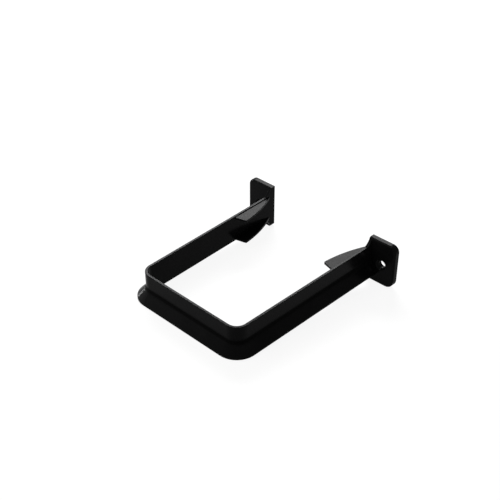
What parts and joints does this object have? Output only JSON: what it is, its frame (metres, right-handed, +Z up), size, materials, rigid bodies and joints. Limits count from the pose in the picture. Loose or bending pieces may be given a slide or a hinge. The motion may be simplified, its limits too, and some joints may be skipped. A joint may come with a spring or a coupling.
{
  "type": "downpipe stand-off clip",
  "caption": "U-shaped clip that holds a square downpipe off a wall, with a flared skirt, inner pipe stops and countersunk screw lugs.",
  "frame": {"origin": "midway between the two screw holes, on the plane of the wall", "axes": "+X along the wall from one lug to the other, +Y into the wall, +Z up along the pipe"},
  "size_m": [0.1042, 0.1069, 0.0264],
  "materials": {
    "body": "smooth moulded black plastic with a clear shine"
  },
  "bodies": {
    "root": {"standoff_clip": "body"}
  },
  "joints": []
}
